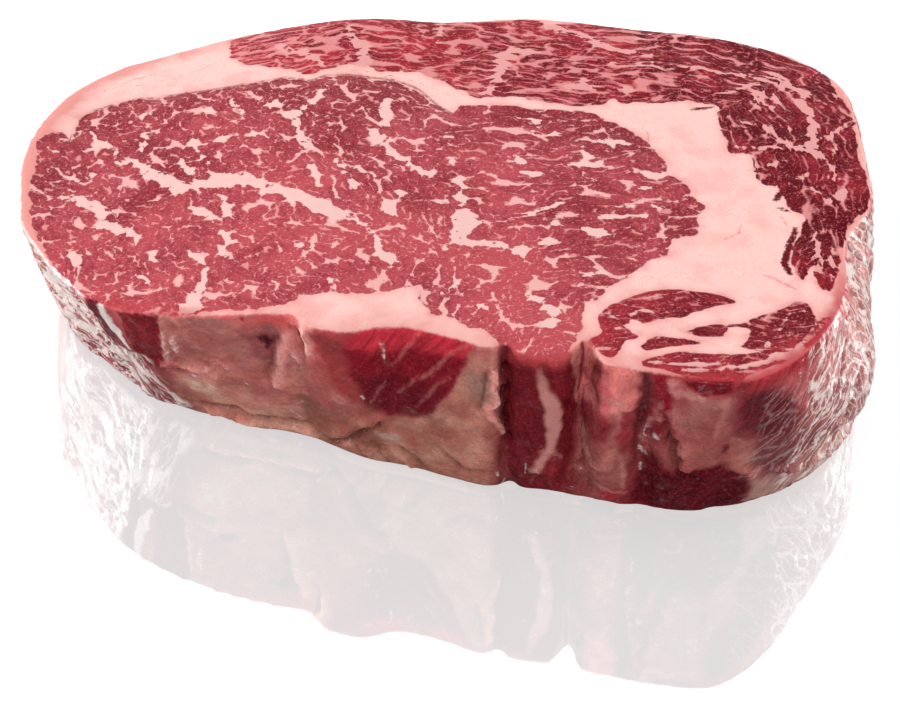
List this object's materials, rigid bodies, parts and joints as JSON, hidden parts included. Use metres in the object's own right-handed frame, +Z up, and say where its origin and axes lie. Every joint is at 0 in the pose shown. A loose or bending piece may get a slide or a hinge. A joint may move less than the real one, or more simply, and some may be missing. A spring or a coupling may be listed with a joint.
{
  "type": "raw beef steak",
  "caption": "Thick raw boneless rib steak with a marbled eye, a darker cap, fat kernels and a wet, membrane-covered side wall.",
  "frame": {"origin": "centre of the bounding box seen from above, on the table plane under the steak", "axes": "+X along the steak's length, from its thin end to its thick end; +Y across it, from the long cut front wall to the back; +Z up through its thickness"},
  "size_m": [0.1782, 0.1284, 0.0424],
  "materials": {
    "raw_meat": null
  },
  "bodies": {
    "root": {"steak": "raw_meat"}
  },
  "joints": []
}
